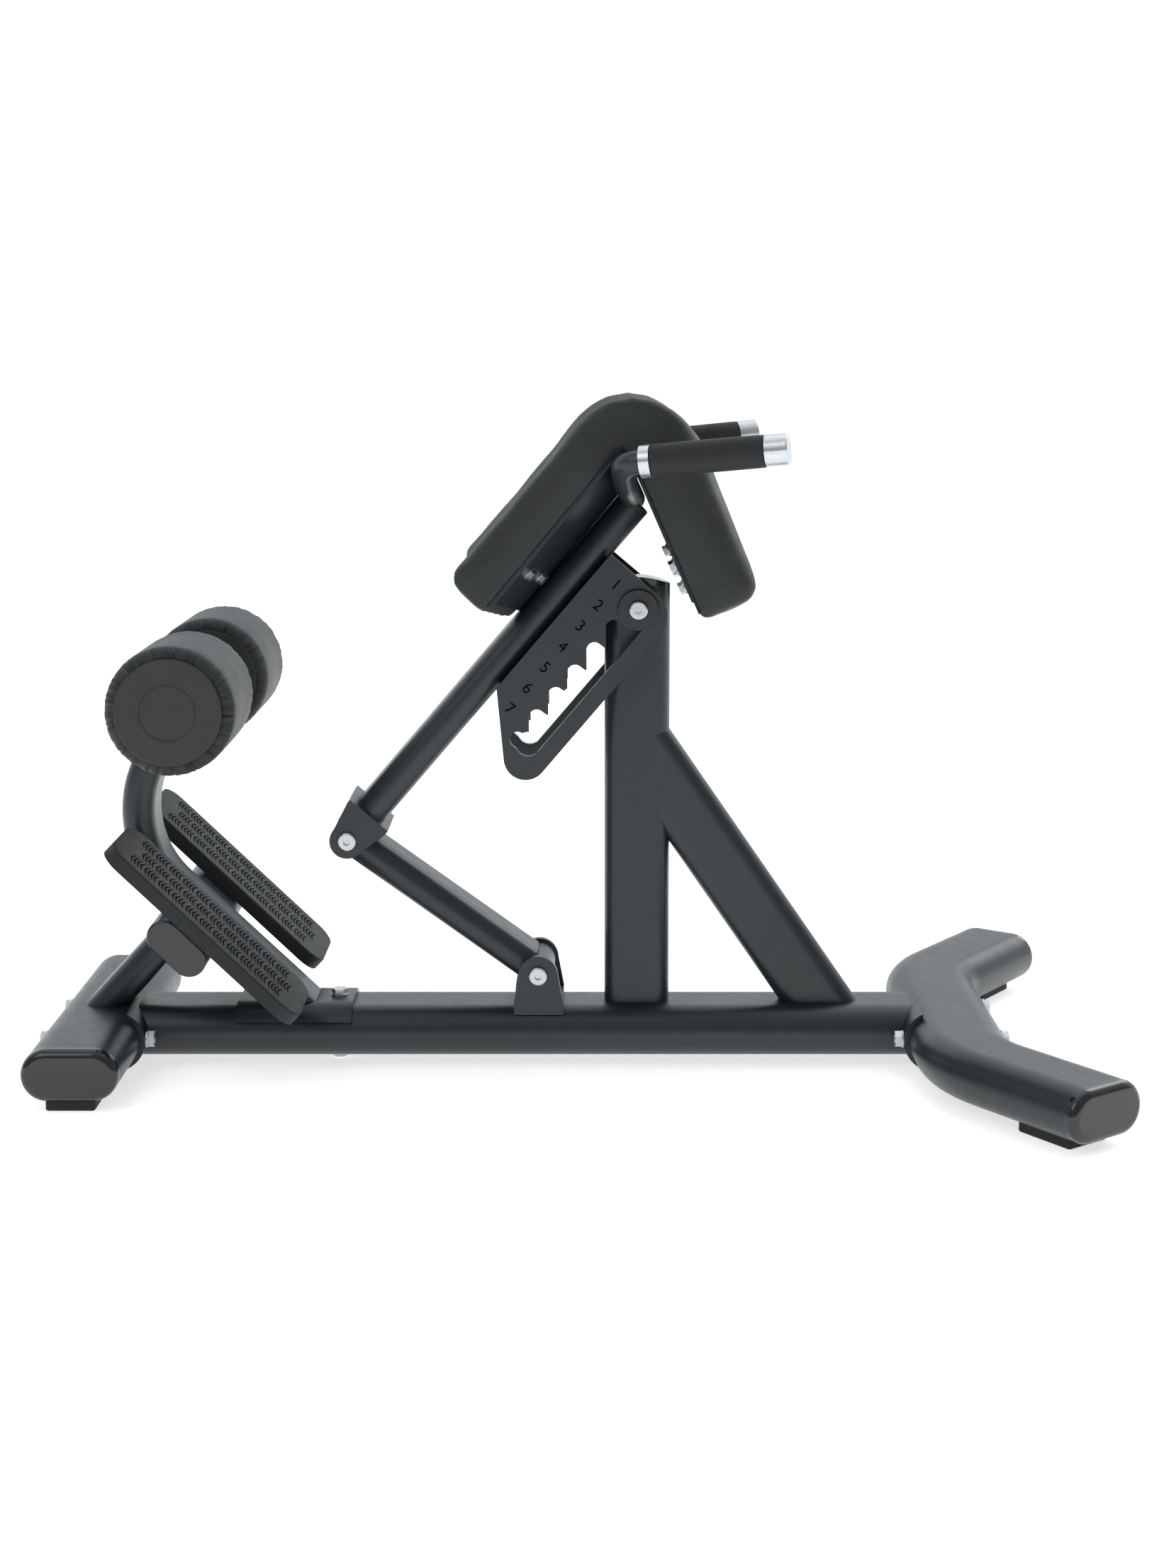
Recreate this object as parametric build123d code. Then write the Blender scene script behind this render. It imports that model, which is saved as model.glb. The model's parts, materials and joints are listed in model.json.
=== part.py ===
from build123d import *
import os
from math import asin, cos, degrees, hypot, radians, sin

# Driving dimensions in millimetres. The length runs along X, from the roller end to the
# forked end. Y is the width and Z is up from the floor.
CENTRE_X = -11.62         # middle of the overall length, which becomes the origin
WALL = 3.0                # wall of every frame tube
BIG = (114.0, 62.0)       # flat oval tube of the feet and the main beam
SMALL = (80.0, 40.0)      # flat oval tube of the uprights and levers
FLOOR_TUBE_Z = 43.0       # centre height of the feet and the main beam
TOP_Z = FLOOR_TUBE_Z + BIG[1] / 2
FIT = 0.1                 # clearance of parts that are pressed or slipped together
GAP = 0.5                 # clearance between parts that move past each other
PATH_GAP = 0.8            # clearance round the post pin along its way through the slot

# Feet
REAR_X = -587.0
REAR_HALF = 204.0
FRONT_X = 461.0
FRONT_BEND_Y = 172.0
FRONT_END = (587.0, 345.6)
FRONT_BEND_R = 150.0
CAP_LENGTH = 14.0
RUBBER = 12.0
REAR_RUBBER = (58.0, 78.0, 171.0)
FRONT_RUBBER = (62.0, 78.0, (547.0, 292.0))
BOLT_Y = 68.0
FLANGE = (6.0, 80.0, 62.0)      # thickness, half width, half angle round the foot

# Post and its brace
POST_X = 74.5
POST_TOP = 594.0
POST_CAP_R = 90.0
BRACE = ((74.0, 403.5), (324.5, 38.9))

# Adjustment linkage: three cross pins, all along Y
PIN_BASE = (-47.0, 116.0)
PIN_ELBOW = (-279.5, 283.4)
PIN_POST = (74.7, 567.4)
LEVER_ANGLE = 49.6
EAR_IN = 40.0
EAR_OUT = 48.0
PIN_D = 16.0
POST_PIN_D = 12.0
LINK_WIDE = 76.0
LINK_SLEEVE = (40.0, 39.0)      # diameter and half length
MAST_SLEEVE = (48.0, 42.0)
BUSH_D = 24.0
BRACKET_X = (-77.0, -16.0)
BRACKET_Z = 80.0
LEVER_LENGTH = 540.7      # elbow pin to the crossbar's centre
CLEVIS_PLATE = (36.0, 42.0, 30.0)

# Ladder plates, in the lever's own frame: along the lever from the elbow pin, and below it
LADDER_TOP = 17.0
LADDER_LOW_END = (219.0, 99.5, 26.5)
LADDER_HIGH_END = (439.0, 90.0, 36.0)
LADDER_HEEL = 262.0        # where the slanted lower edge meets the lever
LADDER_TANGENT = (199.9, 81.1)
WEB = (20.0, 26.0, 266.0, 469.0)
LANE = (85.3, 105.5)
NOTCH_STEP = 35.9
NOTCH_FIRST = 410.0
NOTCH_DEPTH = 77.2
NOTCH_R = 9.6
NOTCH_RAMP = 25.0
NOTCHES = 6
LANE_END_R = 15.0
LANE_TOP = 446.0           # upper end of the lane, beside the seat of the post pin
LINK_RANGE = 28.5          # degrees the link turns, and how much faster the lever turns back
TURN_RATIO = 1.15
PATH_STEPS = 40

# Thigh pads: two bent pads whose inner edges sit lower on the long leg
PAD_OUT = 160.0
PAD_IN = 14.0
PAD_TILT = 0.26
LONG_ANGLE = 50.2
SHORT_ANGLE = 68.2
SHORT_INNER_ANGLE = 66.4
PAD_CORNER = (-152.5, 611.7)
PAD_LONG_THICK = 56.0
PAD_TOE = (213.2, 592.1)
PAD_SHORT_THICK = 71.5
PAD_CROWN_R = 80.0
PAD_PLATE = 3.0
PAD_PLATE_OUT = 148.0

# Handles: one bent tube through the head of the lever
HANDLE_D = 28.0
GRIP_D = 37.0
COLLAR = (79.0, 214.0, 754.0)
GRIP_DIR = Vector(1.0, 0.232, 0.0956).normalized()
COLLAR_HALF = 6.0
GRIP_END = 136.5
HANDLE_END = 162.5
HANDLE_BEND = (51.8, 207.7, 751.4)
HANDLE_KNEE = (58.0, 150.0, 724.0)
HANDLE_MIDDLE = (70.0, 0.0, 697.0)

# Rollers and their mast
AXLE = (-463.0, 469.0)
AXLE_D = 25.0
ROLLER_D = 150.0
ROLLER_CORE_D = 60.0
ROLLER_DISC_D = 123.0
ROLLER_IN = 55.0
ROLLER_OUT = 219.0
DISC = 4.5
MAST_LOW = (-335.0, 65.6)
MAST_BEND = (-577.3, 295.7)
MAST_R = 135.0
SADDLE = (-418.0, -276.0, 5.0)
SADDLE_BOLT_X = -295.0

# Footplates
PLATE_ANGLE = 43.7
PLATE_START = (-544.0, 290.0)
PLATE_MIDDLE = 140.0
PLATE_SIZE = (298.0, 130.0, 17.0)
PLATE_Y = 123.0
ARM_ALONG = 129.0
MAST_BRACE = ((-602.7, 49.3), (-478.0, 185.2))


def xz(point, y=0.0):
    return Vector(point[0], y, point[1])


def bar(start, end, size, wide_dir):
    """A solid flat oval from start to end, its wide side along wide_dir."""
    axis = Vector(*end) - Vector(*start)
    plane = Plane(origin=Vector(*start), x_dir=Vector(*wide_dir), z_dir=axis)
    return extrude(plane * SlotOverall(*size), amount=axis.length)


def tube(start, end, size, wide_dir):
    inner = (size[0] - 2 * WALL, size[1] - 2 * WALL)
    return bar(start, end, size, wide_dir) - bar(start, end, inner, wide_dir)


def rod(start, end, diameter):
    axis = Vector(*end) - Vector(*start)
    plane = Plane(origin=Vector(*start), z_dir=axis)
    return extrude(plane * Circle(diameter / 2), amount=axis.length)


def cross_rod(point, y0, y1, diameter):
    """A round bar along Y through a point of the side view."""
    return rod((point[0], y0, point[1]), (point[0], y1, point[1]), diameter)


def ring(point, y0, y1, outer, inner):
    return cross_rod(point, y0, y1, outer) - cross_rod(point, y0 - 1, y1 + 1, inner)


def hexagon(start, axis, across, thick):
    plane = Plane(origin=Vector(*start), z_dir=Vector(*axis))
    return extrude(plane * RegularPolygon(across / 2, 6, major_radius=False), amount=thick)


def side_plate(face, y0, y1):
    """Extrudes a face drawn in the side view, X and Z, from y0 to y1."""
    plane = Plane(origin=(0, y0, 0), x_dir=(1, 0, 0), z_dir=(0, 1, 0))
    flipped = mirror(face, about=Plane.XZ)
    return extrude(plane * flipped, amount=y1 - y0)


def both_sides(solid):
    return [solid, mirror(solid, about=Plane.XZ)]


def block(x0, x1, y0, y1, z0, z1):
    return Pos((x0 + x1) / 2, (y0 + y1) / 2, (z0 + z1) / 2) * Box(x1 - x0, y1 - y0, z1 - z0)


# Feet and beam

def oval_cap(size, plane, length, plug, round_r):
    """A domed end cap: a rim as wide as the tube, with a plug that goes inside it."""
    rim = extrude(plane * SlotOverall(*size), amount=length)
    rim = fillet(rim.edges().group_by(lambda e: plane.to_local_coords(e.center()).Z)[-1], round_r)
    bore = 2 * WALL + 2 * FIT
    inner = extrude(plane * SlotOverall(size[0] - bore, size[1] - bore), amount=-plug)
    return rim + inner


def front_path(extra=0.0):
    turn = Vector(FRONT_END[0] - FRONT_X, FRONT_END[1] - FRONT_BEND_Y, 0).normalized()
    end = Vector(*FRONT_END, 0) + turn * (extra - CAP_LENGTH)
    points = [
        (end.X, -end.Y, FLOOR_TUBE_Z),
        (FRONT_X, -FRONT_BEND_Y, FLOOR_TUBE_Z),
        (FRONT_X, FRONT_BEND_Y, FLOOR_TUBE_Z),
        (end.X, end.Y, FLOOR_TUBE_Z),
    ]
    return FilletPolyline(*points, radius=FRONT_BEND_R)


def front_sweep(size):
    path = front_path()
    plane = Plane(origin=path @ 0, x_dir=(path % 0).cross(Vector(0, 0, 1)), z_dir=path % 0)
    return sweep(plane * SlotOverall(*size), path=path)


def foot_bolt_holes(foot_x):
    x0 = foot_x - BIG[0]
    x1 = foot_x + BIG[0]
    holes = [rod((x0, y, FLOOR_TUBE_Z), (x1, y, FLOOR_TUBE_Z), 11.0) for y in (-BOLT_Y, BOLT_Y)]
    return holes[0] + holes[1]


def flange(foot_x, side):
    """A curved plate that hugs the round side of a foot; side is the way to the beam."""
    thick, half, angle = FLANGE
    centre = (foot_x + side * (BIG[0] - BIG[1]) / 2, FLOOR_TUBE_Z)
    shell = ring(centre, -half, half, BIG[1] + 2 * thick, BIG[1] + 2 * FIT)
    reach = (BIG[1] / 2 + thick) * 2
    low = BIG[1] / 2 * cos(radians(angle))
    x0, x1 = sorted((centre[0] + side * low, centre[0] + side * reach))
    return (shell & block(x0, x1, -half, half, -reach, 2 * reach)) - foot_bolt_holes(foot_x)


def beam_end_cutter(foot_x, side):
    thick = FLANGE[0]
    centre = (foot_x + side * (BIG[0] - BIG[1]) / 2, FLOOR_TUBE_Z)
    return cross_rod(centre, -BIG[0], BIG[0], BIG[1] + 2 * thick + 2 * FIT)


def main_beam():
    start = (REAR_X + (BIG[0] - BIG[1]) / 2, 0, FLOOR_TUBE_Z)
    end = (FRONT_X - (BIG[0] - BIG[1]) / 2, 0, FLOOR_TUBE_Z)
    body = tube(start, end, BIG, (0, 1, 0))
    body -= beam_end_cutter(REAR_X, 1) + beam_end_cutter(FRONT_X, -1)
    return body - rod((SADDLE_BOLT_X, 0, -9), (SADDLE_BOLT_X, 0, 99), 11.0)


def rear_foot():
    body = tube((REAR_X, -REAR_HALF, FLOOR_TUBE_Z), (REAR_X, REAR_HALF, FLOOR_TUBE_Z), BIG, (1, 0, 0))
    return body - foot_bolt_holes(REAR_X)


def front_foot():
    hollow = front_sweep(BIG) - front_sweep((BIG[0] - 2 * WALL, BIG[1] - 2 * WALL))
    return hollow - foot_bolt_holes(FRONT_X)


def rear_caps():
    plane = Plane(origin=(REAR_X, REAR_HALF, FLOOR_TUBE_Z), x_dir=(1, 0, 0), z_dir=(0, 1, 0))
    return both_sides(oval_cap(BIG, plane, CAP_LENGTH, 25.0, 10.0))


def front_caps():
    path = front_path()
    way = path % 1
    plane = Plane(origin=path @ 1, x_dir=way.cross(Vector(0, 0, 1)), z_dir=way)
    return both_sides(oval_cap(BIG, plane, CAP_LENGTH, 25.0, 10.0))


def rubber_foot(x, y, size, turn):
    pad = Pos(x, y, RUBBER / 2) * Rot(0, 0, turn) * Box(size[0], size[1], RUBBER)
    pad = fillet(pad.edges().filter_by(Axis.Z), 4.0)
    return chamfer(pad.faces().sort_by(Axis.Z)[0].edges(), 1.5)


def front_rubber_feet():
    (x, y) = FRONT_RUBBER[2]
    run = FRONT_END[0] - FRONT_X
    turn = -degrees(asin(run / hypot(run, FRONT_END[1] - FRONT_BEND_Y)))
    return both_sides(rubber_foot(x, y, FRONT_RUBBER, turn))


def bolt_set(start, axis, grip, size):
    """Bolt with its head at start, a washer under the head, and a washer and nut after the grip."""
    across, shank, head, washer = size
    way = Vector(*axis).normalized()
    start = Vector(*start)
    under = start + way * washer
    nut_at = under + way * (grip + washer)
    bolt = hexagon(start - way * head, way, across, head)
    bolt += rod(start, nut_at + way * (head + BOLT_TIP), shank)
    ring_d = across * 1.24
    bore = shank + 2 * FIT
    washers = [
        rod(start, under, ring_d) - rod(start, under, bore),
        rod(nut_at - way * washer, nut_at, ring_d) - rod(nut_at - way * washer, nut_at, bore),
    ]
    nut = hexagon(nut_at, way, across, head + 1.6) - rod(nut_at, nut_at + way * 20, bore)
    return bolt, washers, nut


M10 = (17.0, 10.0, 6.4, 2.0)      # across flats, shank, head, washer
BOLT_TIP = 2.6


def foot_fasteners():
    bolts, washers, nuts = [], [], []
    grip = BIG[0] + FLANGE[0]
    for foot_x, side in ((REAR_X, 1), (FRONT_X, -1)):
        for y in (-BOLT_Y, BOLT_Y):
            start = (foot_x - side * (BIG[0] / 2 + M10[3]), y, FLOOR_TUBE_Z)
            bolt, pair, nut = bolt_set(start, (side, 0, 0), grip, M10)
            bolts.append(bolt)
            washers += pair
            nuts.append(nut)
    return bolts, washers, nuts


# Post

def post_solid():
    return bar((POST_X, 0, TOP_Z), (POST_X, 0, POST_TOP), SMALL, (1, 0, 0))


def post():
    body = tube((POST_X, 0, TOP_Z), (POST_X, 0, POST_TOP), SMALL, (1, 0, 0))
    return body - cross_rod(PIN_POST, -50, 50, POST_PIN_D + 2 * FIT)


def post_cap():
    dome = bar((POST_X, 0, POST_TOP), (POST_X, 0, POST_TOP + 20), SMALL, (1, 0, 0))
    dome &= cross_rod((POST_X, POST_TOP + 10 - POST_CAP_R), -50, 50, 2 * POST_CAP_R)
    bore = 2 * WALL + 2 * FIT
    inner = (SMALL[0] - bore, SMALL[1] - bore)
    plug = bar((POST_X, 0, POST_TOP - 8), (POST_X, 0, POST_TOP), inner, (1, 0, 0))
    return dome + plug


def post_brace():
    (x0, z0), (x1, z1) = BRACE
    wide = (z0 - z1, 0, x1 - x0)
    body = tube((x0, 0, z0), (x1, 0, z1), SMALL, wide)
    return body - post_solid() - block(0, 500, -60, 60, -60, TOP_Z)


def pin_with_screws(point, diameter, half):
    """A pin with a tapped hole in each end, and the two button screws that hold it."""
    tapped = 8.0
    pin = cross_rod(point, -half, half, diameter)
    for side in (-1, 1):
        pin -= cross_rod(point, side * half, side * (half - 18), tapped + 2 * FIT)
    screw = cross_rod(point, half, half + 5, 23.0)
    screw = fillet(screw.edges().group_by(Axis.Y)[-1], 2.4)
    screw -= hexagon((point[0], half + 5, point[1]), (0, -1, 0), 8.0, 3.0)
    screw += cross_rod(point, half - 16, half, tapped)
    return pin, both_sides(screw)


def post_pin_parts():
    half = EAR_OUT + GAP + 5.0
    pin, screws = pin_with_screws(PIN_POST, POST_PIN_D, half)
    bore = POST_PIN_D + 2 * FIT
    spacers = both_sides(ring(PIN_POST, SMALL[1] / 2 + FIT, EAR_IN - GAP, 26.0, bore))
    disc = ring(PIN_POST, EAR_OUT + GAP, half, 50.0, bore)
    disc = fillet(disc.edges().group_by(Axis.Y)[-1].sort_by(SortBy.LENGTH)[-1], 1.5)
    return pin, screws, spacers, both_sides(disc)


# Link and lever

def lever_point(along, below):
    """A point of the side view from its distance along the lever and below its centreline."""
    c, s = cos(radians(LEVER_ANGLE)), sin(radians(LEVER_ANGLE))
    return (PIN_ELBOW[0] + along * c + below * s, PIN_ELBOW[1] + along * s - below * c)


def link_bracket():
    x, z = PIN_BASE
    skirt = TOP_Z - 7.0
    low, high = BRACKET_X
    outline = make_face(Polyline((low, skirt), (high, skirt), (high, BRACKET_Z), (x + 23, z + 6),
                                 (x - 23, z + 6), (low, BRACKET_Z), close=True))
    ear = side_plate(outline, EAR_IN, EAR_OUT) + cross_rod(PIN_BASE, EAR_IN, EAR_OUT, 48.0)
    ear -= cross_rod(PIN_BASE, 0, 99, PIN_D + FIT)
    ears = both_sides(ear)
    base = block(low, high, -EAR_IN, EAR_IN, TOP_Z, TOP_Z + 6.0)
    beam = bar((-200, 0, FLOOR_TUBE_Z), (100, 0, FLOOR_TUBE_Z), BIG, (0, 1, 0))
    return (ears[0] + base + ears[1]) - beam


def link():
    start, end = xz(PIN_BASE), xz(PIN_ELBOW)
    inset = (end - start).normalized() * 15
    body = tube(start + inset, end - inset, (LINK_WIDE, SMALL[1]), (0, 1, 0))
    diameter, half = LINK_SLEEVE
    for point in (PIN_BASE, PIN_ELBOW):
        body -= cross_rod(point, -half, half, diameter)
        body += ring(point, -half, half, diameter, BUSH_D)
    return body


def link_bushes():
    half = LINK_SLEEVE[1]
    bushes = []
    for point in (PIN_BASE, PIN_ELBOW):
        bushes += both_sides(ring(point, half - 25, half + 0.4, BUSH_D - FIT, PIN_D + FIT))
    return bushes


def lever():
    start = lever_point(CLEVIS_PLATE[1], 0)
    end = lever_point(LEVER_LENGTH, 0)
    return tube(xz(start), xz(end), SMALL, (0, 1, 0)) - handle_solid(HANDLE_D)


def clevis():
    near, far, half = CLEVIS_PLATE
    ear_r = 21.5
    corners = [lever_point(far, half), lever_point(near, half), lever_point(0, ear_r),
               lever_point(0, -ear_r), lever_point(near, -half), lever_point(far, -half)]
    ear = side_plate(make_face(Polyline(*corners, close=True)), EAR_IN, EAR_OUT)
    ear += cross_rod(PIN_ELBOW, EAR_IN, EAR_OUT, 2 * ear_r)
    ear -= cross_rod(PIN_ELBOW, 0, 99, PIN_D + FIT)
    ears = both_sides(ear)
    plate = make_face(Polyline(lever_point(near, half), lever_point(near, -half),
                               lever_point(far, -half), lever_point(far, half), close=True))
    return ears[0] + side_plate(plate, -EAR_IN, EAR_IN) + ears[1]


def lever_face(points):
    return make_face(Polyline(*[lever_point(*p) for p in points], close=True))


def ladder_outline():
    low_u, low_w, low_r = LADDER_LOW_END
    high_u, high_w, high_r = LADDER_HIGH_END
    bottom = low_w + low_r
    body = lever_face([(LADDER_HEEL, LADDER_TOP), (high_u + high_r, LADDER_TOP), (high_u + high_r, high_w),
                       (high_u, bottom), (low_u, bottom), LADDER_TANGENT])
    body += Pos(*lever_point(low_u, low_w)) * Circle(low_r)
    return body + Pos(*lever_point(high_u, high_w)) * Circle(high_r)


def notch(centre, ramp):
    """One notch, whose lower side runs out into the lane over the length ramp."""
    slant = lever_face([(centre + 10.2, LANE[0] + 1), (centre + NOTCH_R, NOTCH_DEPTH),
                        (centre - 6.2, 69.9), (centre - ramp, LANE[0] + 1)])
    return slant + Pos(*lever_point(centre, NOTCH_DEPTH)) * Circle(NOTCH_R)


def turned(vector, degrees_y):
    """A side-view vector turned about +Y, which takes +Z towards +X."""
    c, s = cos(radians(degrees_y)), sin(radians(degrees_y))
    return (vector[0] * c + vector[1] * s, vector[1] * c - vector[0] * s)


def pin_seat(link_turn):
    """Where the post pin lies on the ladder plates once the link has turned by link_turn degrees."""
    dx, dz = turned((PIN_ELBOW[0] - PIN_BASE[0], PIN_ELBOW[1] - PIN_BASE[1]), link_turn)
    elbow = (PIN_BASE[0] + dx, PIN_BASE[1] + dz)
    back = turned((PIN_POST[0] - elbow[0], PIN_POST[1] - elbow[1]), (TURN_RATIO - 1) * link_turn)
    return (PIN_ELBOW[0] + back[0], PIN_ELBOW[1] + back[1])


def ladder_slot():
    middle = (LANE[0] + LANE[1]) / 2
    radius = (LANE[1] - LANE[0]) / 2
    low = NOTCH_FIRST - (NOTCHES - 1) * NOTCH_STEP
    high = LANE_TOP
    slot = lever_face([(low, LANE[0]), (high, LANE[0]), (high, LANE[1]), (low, LANE[1])])
    slot += Pos(*lever_point(high, middle)) * Circle(radius)
    slot += Pos(*lever_point(low + 4, LANE[1] - LANE_END_R)) * Circle(LANE_END_R)
    slot += lever_face([(low + 9, 77), (low - NOTCH_R, 77), (low - NOTCH_R, 88), (low + 9, 88)])
    for step in range(PATH_STEPS + 1):
        slot += Pos(*pin_seat(LINK_RANGE * step / PATH_STEPS)) * Circle(POST_PIN_D / 2 + PATH_GAP)
    for step in range(NOTCHES):
        ramp = NOTCH_RAMP if step < NOTCHES - 1 else NOTCH_R
        slot += notch(NOTCH_FIRST - step * NOTCH_STEP, ramp)
    return slot


def ladder_plate():
    return side_plate(ladder_outline() - ladder_slot(), EAR_IN, EAR_OUT)


def ladder_web():
    top, bottom, low, high = WEB
    face = lever_face([(low, top), (high, top), (high, bottom), (low, bottom)])
    return side_plate(face, -EAR_IN, EAR_IN)


# Handles

def handle_path():
    half = [Vector(*COLLAR) + GRIP_DIR * (HANDLE_END - 6.0), Vector(*HANDLE_BEND), Vector(*HANDLE_KNEE)]
    points = half + [Vector(*HANDLE_MIDDLE)] + [Vector(p.X, -p.Y, p.Z) for p in reversed(half)]
    return FilletPolyline(*points, radius=[24.0, 60.0, 80.0, 60.0, 24.0])


def handle_solid(diameter):
    path = handle_path()
    plane = Plane(origin=path @ 0, z_dir=path % 0)
    return sweep(plane * Circle(diameter / 2), path=path)


def handle_bar():
    return handle_solid(HANDLE_D) - handle_solid(HANDLE_D - 5.0)


def along_grip(distance):
    return Vector(*COLLAR) + GRIP_DIR * distance


def grip_ring(start, end, outer, inner):
    return rod(along_grip(start), along_grip(end), outer) - rod(along_grip(start), along_grip(end), inner)


def handle_collars():
    return both_sides(grip_ring(-COLLAR_HALF, COLLAR_HALF, GRIP_D, HANDLE_D + FIT))


def handle_grip():
    return grip_ring(COLLAR_HALF, GRIP_END, GRIP_D, HANDLE_D + FIT)


def handle_end_caps():
    cap = rod(along_grip(GRIP_END), along_grip(HANDLE_END), GRIP_D)
    cap = fillet(cap.edges().sort_by(Axis.X)[-1], 1.2)
    return both_sides(cap - rod(along_grip(GRIP_END), along_grip(HANDLE_END - 5.8), HANDLE_D + FIT))


# Pads

def unit(angle):
    return Vector(cos(radians(angle)), sin(radians(angle)))


def meet(p, a, q, b):
    """Where the line from p along a meets the line from q along b."""
    gap = q - p
    t = (gap.X * b.Y - gap.Y * b.X) / (a.X * b.Y - a.Y * b.X)
    return p + a * t


def pad_lines(y):
    """Corners of the pad's side view at a distance y from the middle, as a dictionary."""
    long_way = unit(LONG_ANGLE)
    down = unit(LONG_ANGLE - 90)
    drop = down * ((PAD_OUT - y) * PAD_TILT)
    heel = Vector(*PAD_CORNER) + drop
    heel_in = heel + down * PAD_LONG_THICK
    short_way = unit(180 - SHORT_ANGLE)
    toe = Vector(*PAD_TOE)
    toe_in = toe - unit(90 - SHORT_ANGLE) * PAD_SHORT_THICK
    short_in_way = unit(180 - SHORT_INNER_ANGLE)
    return {
        "heel": heel, "heel_in": heel_in, "toe": toe, "toe_in": toe_in,
        "crown": meet(heel, long_way, toe, short_way),
        "crotch": meet(heel_in, long_way, toe_in, short_in_way),
        "long": long_way, "down": down, "short_in": short_in_way,
    }


def flat(vectors):
    return [(v.X, v.Y) for v in vectors]


def raise_face(face, y):
    """Stands a side-view face upright at Y = y."""
    return Plane(origin=(0, y, 0), x_dir=(1, 0, 0), z_dir=(0, 1, 0)) * mirror(face, about=Plane.XZ)


def pad_section(y):
    c = pad_lines(y)
    corners = flat([c["heel"], c["crown"], c["toe"], c["toe_in"], c["crotch"], c["heel_in"]])
    face = make_face(Polyline(*corners, close=True))
    crown = face.vertices().sort_by(Axis.Y)[-1]
    return raise_face(fillet(crown, PAD_CROWN_R), y)


def pad():
    solid = loft([pad_section(PAD_IN), pad_section(PAD_OUT)], ruled=True)
    for start, way in pad_bolt_places():
        solid -= rod(start - way, start + way * 26, 8.4)
    return solid


def pad_plate_section(y):
    c = pad_lines(y)
    thick = PAD_PLATE
    side = unit(180 - SHORT_INNER_ANGLE + 90)
    start = c["heel_in"] + c["long"] * 16
    end = c["toe_in"] + c["short_in"] * 24
    inner = meet(start + c["down"] * thick, c["long"], end + side * thick, c["short_in"])
    corners = [start, c["crotch"], end, end + side * thick, inner, start + c["down"] * thick]
    return raise_face(make_face(Polyline(*flat(corners), close=True)), y)


def pad_plate():
    solid = loft([pad_plate_section(PAD_IN + 1), pad_plate_section(PAD_PLATE_OUT)], ruled=True)
    solid -= bar(xz(lever_point(0, 0)), xz(lever_point(LEVER_LENGTH, 0)), SMALL, (0, 1, 0))
    for start, way in pad_bolt_places():
        solid -= rod(start - way * 9, start + way, 8.4)
    return solid


def pad_bolt_places():
    """Centre on the pad's underside and the way into the pad, for the four bolts of one side."""
    places = []
    for y in (115.0, 55.0):
        c = pad_lines(y)
        spot = c["heel_in"] + c["long"] * 67
        way = Vector(-c["down"].X, PAD_TILT * -1.0, -c["down"].Y).normalized()
        places.append((Vector(spot.X, y, spot.Y), way))
    c = pad_lines(PAD_OUT)
    into = unit(180 - SHORT_INNER_ANGLE - 90)
    for along in (40.0, 68.0):
        spot = c["toe_in"] + c["short_in"] * along
        places.append((Vector(spot.X, 105.0, spot.Y), Vector(into.X, 0, into.Y)))
    return places


def pad_bolts():
    bolts = []
    for start, way in pad_bolt_places():
        seat = start - way * (PAD_PLATE + FIT)
        bolt = hexagon(seat - way * 7.3, way, 13.0, 5.5) + rod(seat - way * 1.8, seat, 18.0)
        bolts += both_sides(bolt + rod(seat, seat + way * 25, 8.0))
    return bolts


# Mast, rollers and footplates

def mast_sweep(size):
    short_of_axle = xz(AXLE) + (xz(MAST_BEND) - xz(AXLE)).normalized() * 18
    path = FilletPolyline(xz(MAST_LOW), xz(MAST_BEND), short_of_axle, radius=MAST_R)
    plane = Plane(origin=path @ 0, x_dir=(0, 1, 0), z_dir=path % 0)
    return sweep(plane * SlotOverall(*size), path=path)


def mast():
    hollow = mast_sweep(SMALL) - mast_sweep((SMALL[0] - 2 * WALL, SMALL[1] - 2 * WALL))
    hollow -= block(-420, -200, -60, 60, 0, TOP_Z + SADDLE[2])
    diameter, half = MAST_SLEEVE
    hollow -= cross_rod(AXLE, -half, half, diameter)
    return hollow + ring(AXLE, -half, half, diameter, AXLE_D)


def saddle():
    x0, x1, thick = SADDLE
    outer = (BIG[0] + 2 * thick, BIG[1] + 2 * thick)
    inner = (BIG[0] + FIT, BIG[1] + FIT)
    start, end = (x0, 0, FLOOR_TUBE_Z), (x1, 0, FLOOR_TUBE_Z)
    shell = bar(start, end, outer, (0, 1, 0)) - bar(start, end, inner, (0, 1, 0))
    shell -= block(x0 - 9, x1 + 9, -99, 99, -99, FLOOR_TUBE_Z + 17)
    return shell - rod((SADDLE_BOLT_X, 0, 0), (SADDLE_BOLT_X, 0, 99), 11.0)


def plate_point(along, above):
    c, s = cos(radians(PLATE_ANGLE)), sin(radians(PLATE_ANGLE))
    return (PLATE_START[0] + along * c + above * s, PLATE_START[1] - along * s + above * c)


def plate_plane(along, above, y):
    x, z = plate_point(along, above)
    c, s = cos(radians(PLATE_ANGLE)), sin(radians(PLATE_ANGLE))
    return Plane(origin=(x, y, z), x_dir=(c, 0, -s), z_dir=(s, 0, c))


def footplate():
    length, width, thick = PLATE_SIZE
    plane = plate_plane(PLATE_MIDDLE, 0, PLATE_Y)
    slab = extrude(plane * RectangleRounded(length, width, 26.0), amount=thick)
    slab = fillet(slab.edges().group_by(lambda e: plane.to_local_coords(e.center()).Z)[-1], 2.5)
    slab -= extrude(plane * RectangleRounded(length - 20, width - 20, 16.0), amount=3.0)
    for along, y in footplate_bolt_places():
        slab -= extrude(plate_plane(along, 0, y) * Circle(4.2), amount=11)
    return slab


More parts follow.
